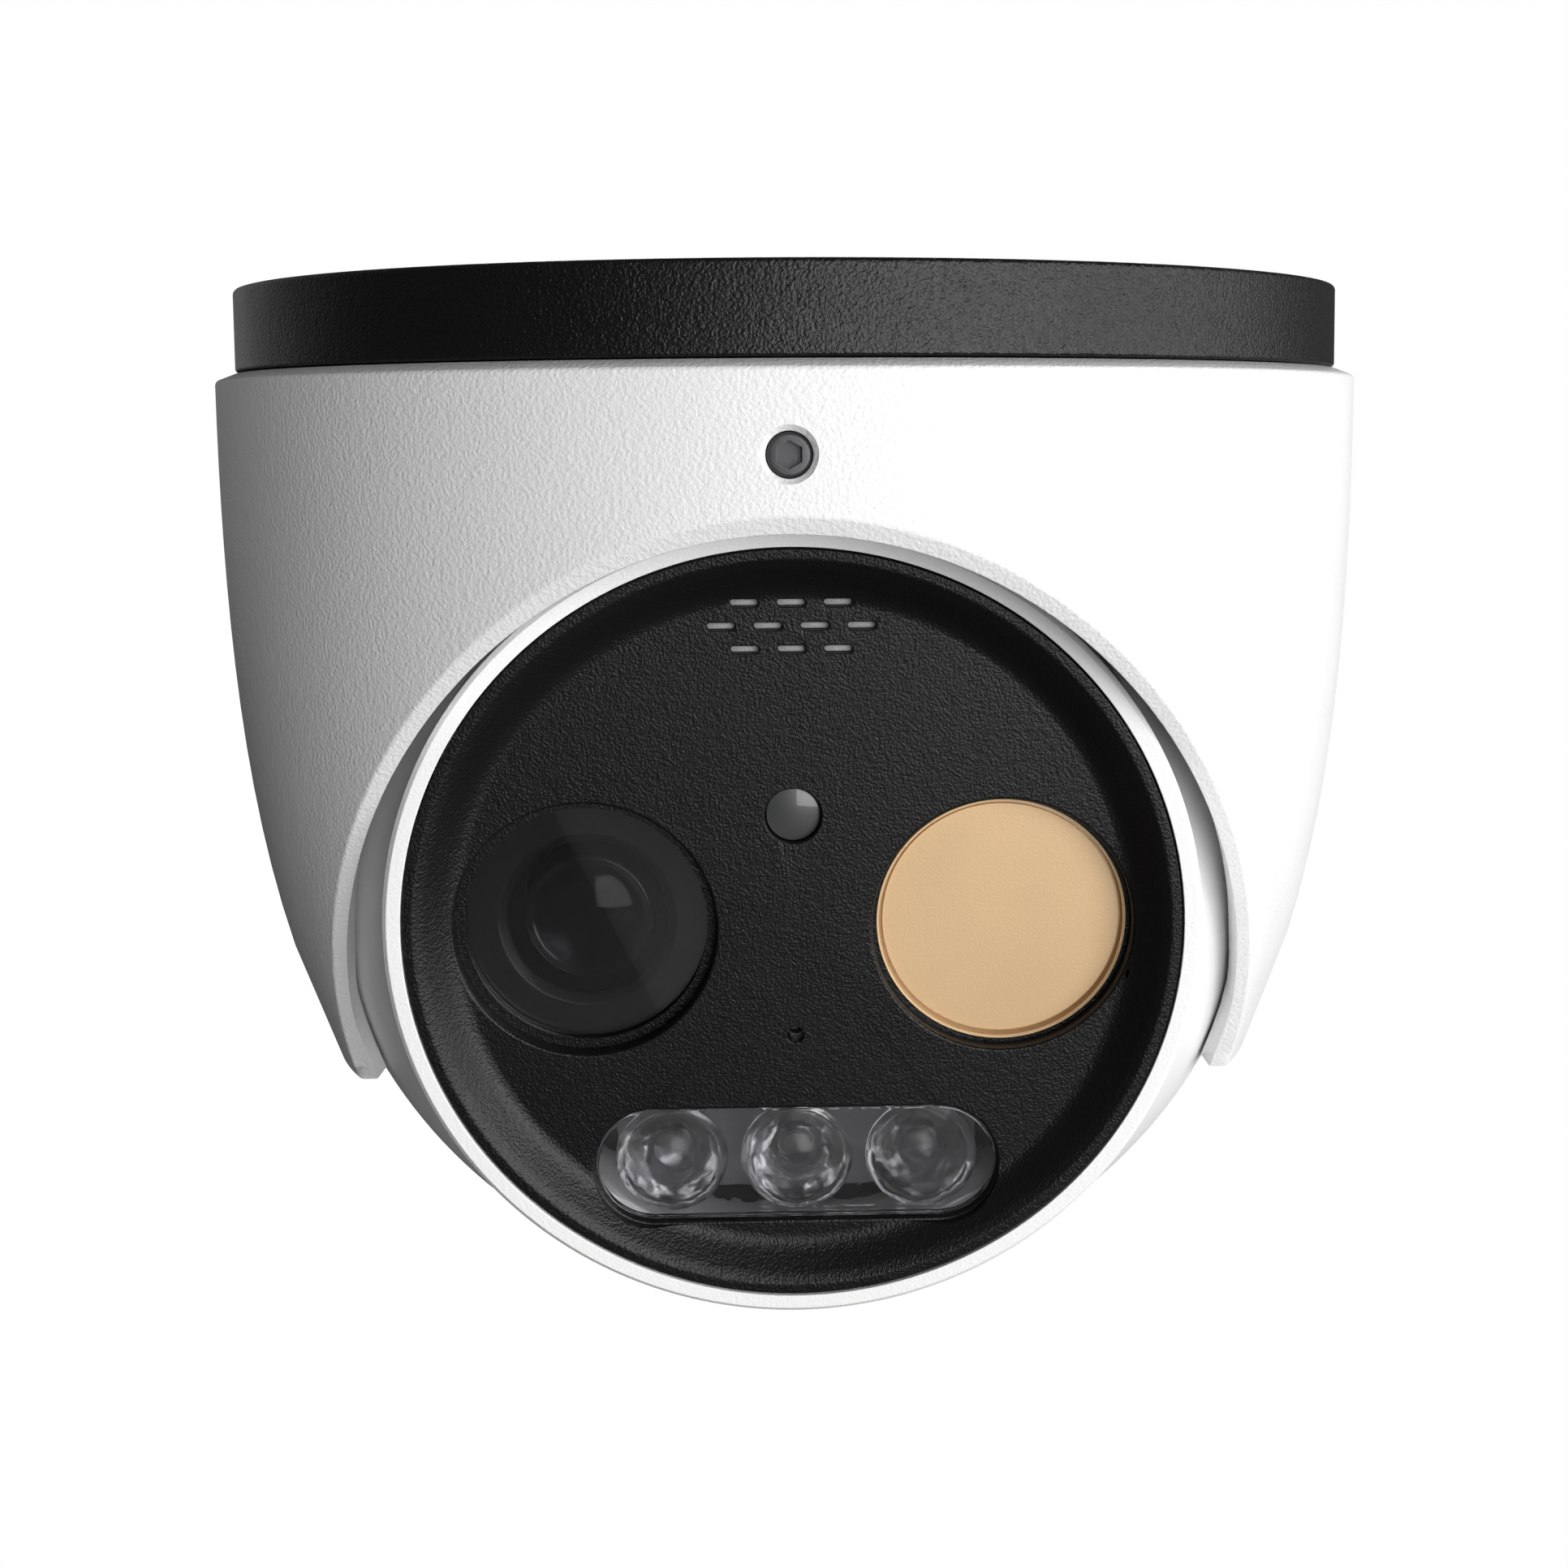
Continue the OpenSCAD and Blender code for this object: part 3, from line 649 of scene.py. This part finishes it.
def shell_mesh(finish):
    """The shell as one closed grid whose rows follow the opening, with its edges rounded."""
    rows = FIRST_SEAT + SEAT_ROWS + len(INSIDE_STEPS)
    columns = FRONT_COLUMNS + BACK_COLUMNS
    half = FRONT_COLUMNS // 2
    bm = bmesh.new()
    verts = [bm.verts.new((1, 0, row)) for row in range(rows)]
    edges = [bm.edges.new((verts[i], verts[(i + 1) % rows])) for i in range(rows)]
    bmesh.ops.spin(
        bm, geom=verts + edges, cent=(0, 0, 0), axis=(0, 0, 1), angle=2 * math.pi, steps=columns,
        use_merge=True,
    )
    corner = corner_azimuth()
    row_layer = bm.verts.layers.int.new("row")
    column_layer = bm.verts.layers.int.new("column")
    for vert in bm.verts:
        row = round(vert.co.z)
        column = round(math.atan2(vert.co.y, vert.co.x) / (2 * math.pi) * columns)
        if abs(column) <= half:
            azimuth = corner * column / half
        else:
            share = (abs(column) - half) / (BACK_COLUMNS / 2)
            azimuth = math.copysign(corner + (math.pi - corner) * share, column)
        vert[row_layer] = row
        vert[column_layer] = column
        vert.co = shell_point(row, azimuth, finish)
    bmesh.ops.recalc_face_normals(bm, faces=bm.faces)
    outer = [e for e in bm.edges if all(v[row_layer] == RIM_ROW for v in e.verts)]
    crease = [
        e for e in bm.edges
        if {v[row_layer] for v in e.verts} == {RIM_ROW, RIM_ROW + 1}
        and all(abs(v[column_layer]) == half for v in e.verts)
    ]
    inner = [e for e in bm.edges if all(v[row_layer] == RIM_ROW + 1 for v in e.verts)]
    top = [e for e in bm.edges if all(v[row_layer] == 1 for v in e.verts)]
    bottom = [e for e in outer if all(abs(v[column_layer]) >= half for v in e.verts)]
    front = [e for e in outer if e not in bottom]
    soften(bm, bottom, 0.5, 4)
    soften(bm, [e for e in front + crease if e.is_valid], 0.22, 3)
    soften(bm, [e for e in inner if e.is_valid], 0.1, 2)
    soften(bm, [e for e in top if e.is_valid], 0.35, 3)
    return bm


def lock_bore():
    """Cutter of the lock screw's hole, with a small countersink."""
    bm = spun([(0, 54.0), (2.08, 54.0), (2.08, 60.3), (2.6, 60.9), (2.6, 64), (0, 64)], 64)
    return moved(turned(bm, math.pi / 2, "X"), z=LOCK_Z)


class TURRET_OT_shell(bpy.types.Operator):
    """Build the white turret shell"""

    bl_idname = "turret.shell"
    bl_label = "Turret shell"

    def execute(self, context):
        bm = cut(shell_mesh(context.scene.turret_finish), [lock_bore()])
        finish_piece("shell_body", bm, HERE, "turret", "shell_white", ["turret_shell"])
        return {"FINISHED"}


# ---- base, ball, bezel ----

# Angles in degrees of the four screws of the ball and of the rear cover
CORNERS = (45, 135, 225, 315)


class TURRET_OT_base(bpy.types.Operator):
    """Build the black base with its screw holes and cable hole"""

    bl_idname = "turret.base"
    bl_label = "Base"

    def execute(self, context):
        bm = spun(
            [
                (0, -3), (0, 0), (50.8, 0), (50.8, -1.2), (53, -1.2), (53, 0),
                (BASE_R, 0, 0.45), (BASE_R, -BASE_H, 0.3), (53.6, -BASE_H), (53.6, -14.3),
                (50.6, -14.3), (50.6, -3),
            ],
            192,
        )
        hole = [(0, -5), (2.25, -5), (2.25, -0.5), (2.8, 0.05), (2.8, 2), (0, 2)]
        holes = ring_of(hole, 48, 42, (90, 210, 330))
        holes.append(spun([(0, -5), (8, -5), (8, 2), (0, 2)], 64))
        finish_piece(
            "base_body", cut(bm, holes), HERE, "base", "base_black", ["mounting_base"],
        )
        return {"FINISHED"}


def sphere_arc(radius, start, end, count):
    """Profile points on a sphere between two heights."""
    low, high = math.asin(start / radius), math.asin(end / radius)
    angles = [low + (high - low) * i / count for i in range(count + 1)]
    return [(radius * math.cos(a), radius * math.sin(a)) for a in angles]


class TURRET_OT_ball(bpy.types.Operator):
    """Build the two shells of the ball"""

    bl_idname = "turret.ball"
    bl_label = "Ball"

    def execute(self, context):
        split, front, back = -14.0, 35.2, -42.0
        outside = sphere_arc(BALL_R, split + 0.12, front, 40)
        inside = sphere_arc(BALL_IN_R, split + 6, 30, 16)[::-1]
        profile = [(BALL_R - 0.35, split + 0.02)] + outside + [(36.1, front), (36.1, 30)]
        profile += inside + [(SPLIT_R, split + 6), (SPLIT_R, split + 0.02)]
        bm = spun(profile, 192)
        pin = turned(spun([(0, -65), (3, -65), (3, 65), (0, 65)], 64), math.pi / 2, "Y")
        finish_piece(
            "ball_front", cut(bm, [pin]), FACE, "ball", "ball_white", ["ball_front_shell"],
        )
        outside = sphere_arc(BALL_R, back, split - 0.12, 24)
        inside = sphere_arc(BALL_IN_R, back + 3, -26, 14)[::-1]
        profile = [(9, back)] + outside + [(BALL_R - 0.35, split - 0.02)]
        profile += [(SPLIT_R, split - 0.02), (SPLIT_R, -26)] + inside + [(9, back + 3)]
        bm = spun(profile, 192)
        bore = [(0, -60), (2.3, -60), (2.3, -18), (1.3, -18), (1.3, -13), (0, -13)]
        bores = ring_of(bore, 40, 44.8, CORNERS)
        finish_piece(
            "ball_rear", cut(bm, bores), FACE, "ball", "ball_white", ["ball_rear_shell"],
        )
        return {"FINISHED"}


class TURRET_OT_bezel(bpy.types.Operator):
    """Build the head's housing with its white bezel"""

    bl_idname = "turret.bezel"
    bl_label = "Bezel and housing"

    def execute(self, context):
        bm = spun(
            [
                (33.6, -18), (35.8, -18), (35.8, 28.45), (34.95, 28.45), (34.95, 29.55),
                (35.8, 29.55), (35.8, 35.6), (BEZEL_R, 35.6, 0.3), (BEZEL_R, 43.22, 0.06),
                (BEZEL_R - 0.45, FACE_D, 0.06), (PANEL_R + 0.17, FACE_D, 0.1),
                (PANEL_R + 0.17, 38), (33.6, 38),
            ],
            256,
        )
        boss = [(1.2, -14.9), (3.1, -14.9), (3.1, -6.1), (1.2, -6.1)]
        parts = [bm] + ring_of(boss, 40, 30.6, CORNERS)
        face_piece("bezel_housing", joined(parts), "bezel_white", ["head_housing"])
        return {"FINISHED"}


# ---- the face ----


# Angles in degrees along the rounded mouth of a cutter, and the cutter's top
FLARE = (0, 22, 45, 68, 88)
CUT_TOP = 46


def round_cutter(x, y, radius, bottom, fillet, half=0.0, steps=64):
    """Cutter through the panel's floor whose mouth flares into a rounded edge."""
    flare = [
        (radius + fillet * (1 - math.cos(a)), FLOOR_Z - fillet + fillet * math.sin(a))
        for a in [math.radians(d) for d in FLARE]
    ]
    profile = [(0.0, bottom), (radius, bottom)] + flare
    profile += [(flare[-1][0], CUT_TOP), (0.0, CUT_TOP)]
    bm = stadium(profile, steps, half) if half else spun(profile, steps)
    return moved(bm, x, y)


def slot_places():
    """Places of the speaker's slots."""
    rows = ((31.46, 3), (29.25, 4), (27.04, 3))
    return [((i - (count - 1) / 2) * SLOT_PITCH, y) for y, count in rows for i in range(count)]


class TURRET_OT_panel(bpy.types.Operator):
    """Build the black front panel with its windows, slots and holes"""

    bl_idname = "turret.panel"
    bl_label = "Front panel"

    def execute(self, context):
        back, rim = 38.6, FACE_D - 0.1
        bm = spun(
            [
                (0, back), (PANEL_R, back), (PANEL_R, rim, 0.12), (35.98, rim, 0.2),
                (35.1, rim - 0.45, 0.3), (33.1, FLOOR_Z + 0.42, 0.9), (32.2, FLOOR_Z, 0.9),
                (0, FLOOR_Z),
            ],
            256,
        )
        cutters = []
        for side, clear_r in ((-1, 11.65), (1, 11.87)):
            x = side * WINDOW_X
            cutters.append(round_cutter(x, WINDOW_Y, 12.55, 39.2, 0.3, steps=96))
            clearance = [(0, 30), (clear_r, 30), (clear_r, 40), (0, 40)]
            cutters.append(spun_at(clearance, 96, x, WINDOW_Y))
        cutters.append(round_cutter(0, LAMP_Y, 5.85, 30, 0.3, PANE_HALF))
        cutters.append(round_cutter(0, SENSOR_Y, 2.7, 30, 0.15, steps=48))
        cutters.append(round_cutter(0, MICROPHONE_Y, 0.8, 30, 0.12, steps=32))
        cutters += [round_cutter(x, y, 0.38, 30, 0.14, SLOT_HALF, 24) for x, y in slot_places()]
        for x, y in ((21, 21), (-21, 21), (26, -16.5), (-26, -16.5)):
            cutters.append(spun_at([(0, 30), (1, 30), (1, 40.3), (0, 40.3)], 24, x, y))
        face_piece("panel_face", cut(bm, cutters), "panel_black", ["front_panel"])
        return {"FINISHED"}


class TURRET_OT_windows(bpy.types.Operator):
    """Build the glass window, the gold window and the light sensor's window"""

    bl_idname = "turret.windows"
    bl_label = "Windows"

    def execute(self, context):
        disc = [(0, 37.3), (GLASS_R, 37.3, 0.12), (GLASS_R, 38.5, 0.2), (0, 38.5)]
        glass = spun_at(disc, 128, -WINDOW_X, WINDOW_Y)
        face_piece("glass_window", glass, "window_glass", ["visible_window"])
        plate = [
            (0, 37.5), (GLASS_R, 37.5), (GLASS_R, 38.5), (11.84, 38.5), (11.84, 39.25),
            (12.08, 39.25), (12.08, 39.4, 0.04), (11.95, 39.4, 0.04), (11.7, 38.1), (11.5, 38.1),
            (11.5, 38.6, 0.04), (0, 38.6),
        ]
        gold = spun_at(plate, 160, WINDOW_X, WINDOW_Y)
        face_piece("gold_window", gold, "germanium_gold", ["thermal_window"])
        eye = spun_at([(0, 39.0), (2.6, 39.0), (2.6, 40.3, 0.12), (0, 40.42)], 64, 0, SENSOR_Y)
        face_piece("sensor_window", eye, "sensor_lens", ["light_sensor_window"])
        return {"FINISHED"}


class TURRET_OT_lens(bpy.types.Operator):
    """Build the dark shield, the lens barrel with its rings and the front lens"""

    bl_idname = "turret.lens"
    bl_label = "Lens"

    def execute(self, context):
        shield = [
            (7.75, 36.0), (12.4, 36.0), (12.4, 37.2, 0.1), (8.6, 37.2, 0.15), (7.75, 36.5, 0.1),
        ]
        surround = spun_at(shield, 128, -WINDOW_X, WINDOW_Y)
        face_piece("lens_surround", surround, "dark_plastic", ["lens_shield"])
        barrel = [
            (4.2, 18.6), (6, 18.6), (6, 29.6), (6.3, 30), (6.3, 36.1, 0.12), (6.05, 36.4, 0.08),
            (5.85, 36.4, 0.05), (5.8, 36.15), (5.7, 36.15), (5.66, 36.5, 0.04), (5.52, 36.5, 0.04),
            (5.48, 36.0), (5.3, 35.9), (5.3, 35.6), (5.5, 35.5), (5.5, 34.4), (4.2, 34.4),
        ]
        tube = spun_at(barrel, 128, -WINDOW_X, WINDOW_Y)
        face_piece("lens_tube", tube, "dark_plastic", ["lens_barrel"], "lens_black")
        curve, curve_z = 10, 25.95
        angles = [math.radians(32) * i / 12 for i in range(12, 0, -1)]
        profile = [(0, 34.4), (5.4, 34.4)]
        profile += [(curve * math.sin(a), curve_z + curve * math.cos(a)) for a in angles]
        profile.append((0, curve_z + curve))
        lens = spun_at(profile, 96, -WINDOW_X, WINDOW_Y)
        face_piece("lens_front", lens, "lens_glass", ["front_lens"])
        return {"FINISHED"}


class TURRET_OT_lamps(bpy.types.Operator):
    """Build the long lamp window and the three optics behind it"""

    bl_idname = "turret.lamps"
    bl_label = "Lamps"

    def execute(self, context):
        edge = [(0, 38.8), (5.8, 38.8, 0.15), (5.8, 40.7, 0.35), (0, 40.7)]
        pane = moved(stadium(edge, 64, PANE_HALF), 0, LAMP_Y)
        face_piece("lamp_pane", pane, "lamp_window", ["led_window"])
        optic = [
            (0, 34.9), (0.9, 34.75), (1.7, 34.4), (1.9, 33.1), (2.5, 33.1, 0.1), (3.6, 34.4),
            (4.6, 36.0), (5.2, 37.4), (5.5, 38.1), (5.5, 38.5, 0.1), (4.9, 38.5), (4.6, 38.25),
            (2.6, 38.0), (1.7, 38.1), (0.9, 38.4), (0, 38.5),
        ]
        optics = [spun_at(optic, 96, place * LAMP_PITCH, LAMP_Y) for place in (-1, 0, 1)]
        face_piece("lamp_optics", joined(optics), "optic_clear", ["led_optics"])
        return {"FINISHED"}


class TURRET_OT_speaker_cloth(bpy.types.Operator):
    """Build the woven cloth pressed up into the speaker's slots"""

    bl_idname = "turret.speaker_cloth"
    bl_label = "Speaker cloth"

    def execute(self, context):
        plate = [(0, 38.1), (3.2, 38.1), (3.2, 38.4), (0, 38.4)]
        parts = [moved(stadium(plate, 32, 5), 0, 29.3)]
        pad = [(0, 38.3), (0.36, 38.3), (0.36, 40.3, 0.1), (0, 40.45)]
        parts += [moved(stadium(pad, 24, SLOT_HALF - 0.01), x, y) for x, y in slot_places()]
        face_piece("speaker_cloth", joined(parts), "dark_steel", ["grille_mesh"], "mesh_grey")
        return {"FINISHED"}


class TURRET_OT_lock_screw(bpy.types.Operator):
    """Build the lock screw with its hexagon socket"""

    bl_idname = "turret.lock_screw"
    bl_label = "Lock screw"

    def execute(self, context):
        bm = spun([(0, 56.6), (1.6, 56.6), (2, 57), (2, 60.2), (1.75, 60.45, 0.06), (0, 60.45)], 64)
        socket = bmesh.new()
        bmesh.ops.create_cone(
            socket, cap_ends=True, segments=6, radius1=1.26, radius2=1.26, depth=3,
            matrix=Matrix.Translation((0, 0, 60.7)),
        )
        bm = moved(turned(cut(bm, [socket]), math.pi / 2, "X"), z=LOCK_Z)
        finish_piece("lock_screw_body", bm, HERE, "set_screw", "dark_steel", ["lock_screw"])
        return {"FINISHED"}


class TURRET_OT_inner_parts(bpy.types.Operator):
    """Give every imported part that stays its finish"""

    bl_idname = "turret.inner_parts"
    bl_label = "Inner parts"

    def execute(self, context):
        for node, part in frame["nodes"].items():
            material = material_for(SLOTS[node])
            part.data.materials.clear()
            part.data.materials.append(material)
        return {"FINISHED"}


# ---- studio ----

LENS = 56.72
SENSOR_WIDTH = 36
SHIFT_X, SHIFT_Y = -0.06, -0.052
CAMERA_PLACE = (0.142, -273.9, -15.1)
YAW, PITCH, ROLL = 0.0344, -0.1086, -0.0064
MIDDLE = (0, 0, -0.055)
# Name, place and target in metres, property with the power, width, height, turn in radians
LIGHTS = (
    ("main_light", (0.44, -0.80, -0.01), MIDDLE, "key_power", 0.9, 0.6, 0.0),
    ("side_light", (0.85, -0.12, 0.02), MIDDLE, "side_power", 0.5, 0.5, 0.0),
    ("fill_card", (0.15, -0.75, -0.278), (0.15, 0, -0.278), "fill_power", 0.5, 0.6, 0.41),
    ("rim_light", (-0.55, 0.62, 0.1), MIDDLE, "rim_power", 0.4, 0.4, 0.0),
    ("back_light", (0.05, 0.85, 0.05), MIDDLE, "back_power", 0.5, 0.5, 0.0),
)
# The floor lies far below, in metres, and is grey to the light that falls on it
FLOOR_Z_M = -0.45
FLOOR_R_M = 4
FLOOR_TONE = 0.14
WHITE = (1, 1, 1, 1)


def area_light(name, place, target, power, width, height, turn):
    """Soft rectangular light aimed at a point."""
    data = bpy.data.lights.new(name, "AREA")
    data.shape = "RECTANGLE"
    data.energy = power
    data.size = width
    data.size_y = height
    light = bpy.data.objects.new(name, data)
    aim = (Vector(target) - Vector(place)).to_track_quat("-Z", "Y")
    light.matrix_world = (
        Matrix.Translation(Vector(place)) @ aim.to_matrix().to_4x4() @ Matrix.Rotation(turn, 4, "Z")
    )
    bpy.context.collection.objects.link(light)


class TURRET_OT_studio(bpy.types.Operator):
    """Set up the camera, the pale floor and the soft lights"""

    bl_idname = "turret.studio"
    bl_label = "Studio"

    def execute(self, context):
        finish = context.scene.turret_finish
        data = bpy.data.cameras.new("camera")
        data.lens = LENS
        data.shift_x = SHIFT_X
        data.shift_y = SHIFT_Y
        data.sensor_width = SENSOR_WIDTH
        camera = bpy.data.objects.new("camera", data)
        level = math.cos(PITCH)
        forward = Vector((math.sin(YAW) * level, math.cos(YAW) * level, math.sin(PITCH)))
        turn = forward.to_track_quat("-Z", "Y").to_matrix().to_4x4()
        camera.matrix_world = (
            Matrix.Translation([value * MM for value in CAMERA_PLACE])
            @ turn @ Matrix.Rotation(ROLL, 4, "Z")
        )
        context.collection.objects.link(camera)
        context.scene.camera = camera

        context.scene.view_settings.view_transform = "Standard"
        for name, place, target, power, width, height, turn in LIGHTS:
            area_light(name, place, target, getattr(finish, power), width, height, turn)

        world = bpy.data.worlds.new("studio")
        context.scene.world = world
        world.use_nodes = True
        tree = world.node_tree
        soft = tree.nodes["Background"]
        soft.inputs["Color"].default_value = WHITE
        soft.inputs["Strength"].default_value = finish.ambient
        white = tree.nodes.new("ShaderNodeBackground")
        white.inputs["Color"].default_value = WHITE
        mixed_by_ray(tree, "Is Camera Ray", soft, white, "World Output")

        mesh = bpy.data.meshes.new("floor")
        bm = bmesh.new()
        bmesh.ops.create_circle(bm, cap_ends=True, segments=64, radius=FLOOR_R_M)
        moved(bm, z=FLOOR_Z_M)
        bm.to_mesh(mesh)
        bm.free()
        floor = bpy.data.objects.new("floor", mesh)
        context.collection.objects.link(floor)
        paint = bpy.data.materials.new("floor_paint")
        paint.use_nodes = True
        tree = paint.node_tree
        shader = tree.nodes["Principled BSDF"]
        shader.inputs["Base Color"].default_value = (FLOOR_TONE, FLOOR_TONE, FLOOR_TONE, 1)
        shader.inputs["Roughness"].default_value = 0.9
        glow = tree.nodes.new("ShaderNodeEmission")
        glow.inputs["Color"].default_value = (*finish.floor_colour, 1)
        mixed_by_ray(tree, "Is Camera Ray", shader, glow, "Material Output")
        mesh.materials.append(paint)
        return {"FINISHED"}


STEPS = (
    TURRET_OT_studio,
    TURRET_OT_inner_parts,
    TURRET_OT_base,
    TURRET_OT_shell,
    TURRET_OT_ball,
    TURRET_OT_bezel,
    TURRET_OT_panel,
    TURRET_OT_windows,
    TURRET_OT_lens,
    TURRET_OT_lamps,
    TURRET_OT_speaker_cloth,
    TURRET_OT_lock_screw,
)


class TURRET_PT_panel(bpy.types.Panel):
    """Lists the building steps"""

    bl_idname = "TURRET_PT_panel"
    bl_label = "Turret camera"
    bl_space_type = "VIEW_3D"
    bl_region_type = "UI"
    bl_category = "Turret camera"

    def draw(self, context):
        for label in TurretFinish.__annotations__:
            self.layout.prop(context.scene.turret_finish, label)
        for step in STEPS:
            self.layout.operator(step.bl_idname)


CLASSES = (TurretFinish, *STEPS, TURRET_PT_panel)


def register():
    for item in CLASSES:
        bpy.utils.register_class(item)
    bpy.types.Scene.turret_finish = bpy.props.PointerProperty(type=TurretFinish)


def unregister():
    del bpy.types.Scene.turret_finish
    for item in reversed(CLASSES):
        bpy.utils.unregister_class(item)


def main():
    """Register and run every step."""
    register()
    for step in STEPS:
        group, name = step.bl_idname.split(".")
        getattr(getattr(bpy.ops, group), name)()


if __name__ == "__main__":
    main()
